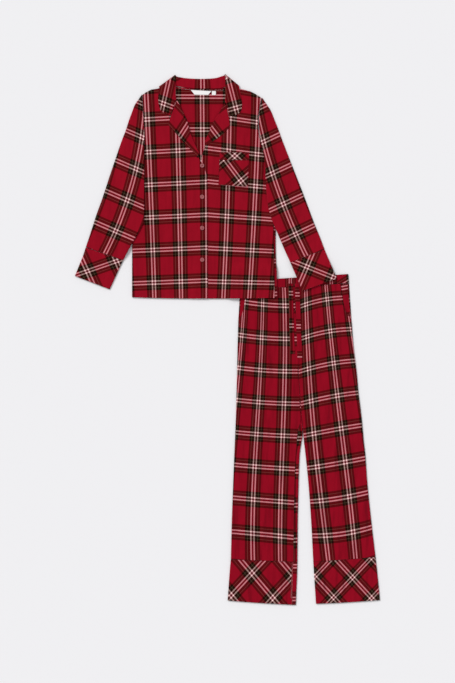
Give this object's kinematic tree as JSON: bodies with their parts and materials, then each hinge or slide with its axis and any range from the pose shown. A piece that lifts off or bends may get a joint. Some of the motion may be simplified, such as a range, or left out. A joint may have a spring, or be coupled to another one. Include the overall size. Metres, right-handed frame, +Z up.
{
  "type": "pyjama set laid flat",
  "caption": "Tartan brushed-cotton pyjama set laid flat: long-sleeved button-front shirt with notched collar over long wide trousers.",
  "frame": {"origin": "middle of the laid-out set's footprint, on the surface it lies on", "axes": "+Y from the trouser hems to the shirt's collar, +X to the wearer's left, +Z up off the surface"},
  "size_m": [0.9462, 1.6459, 0.0119],
  "materials": {
    "tartan": "brushed cotton flannel, red tartan with dark green and white lines",
    "label": "plain woven white label",
    "button": "translucent pinkish red moulded button"
  },
  "bodies": {
    "root": {"shirt_back": "tartan", "shirt_front_right": "tartan", "shirt_front_left": "tartan", "lapel_right": "tartan", "lapel_left": "tartan", "collar": "tartan", "sleeve_right": "tartan", "sleeve_left": "tartan", "cuff_right": "tartan", "cuff_left": "tartan", "pocket_band": "tartan", "chest_pocket": "tartan", "trouser_front_right": "tartan", "trouser_front_left": "tartan", "trouser_back_right": "tartan", "trouser_back_left": "tartan", "waistband": "tartan", "pocket_facing_right": "tartan", "pocket_facing_left": "tartan", "hem_band_right": "tartan", "hem_band_left": "tartan", "tie_right": "tartan", "tie_left": "tartan", "neck_label": "label", "size_label": "label", "button_1": "button", "button_2": "button", "button_3": "button", "button_4": "button"}
  },
  "joints": []
}
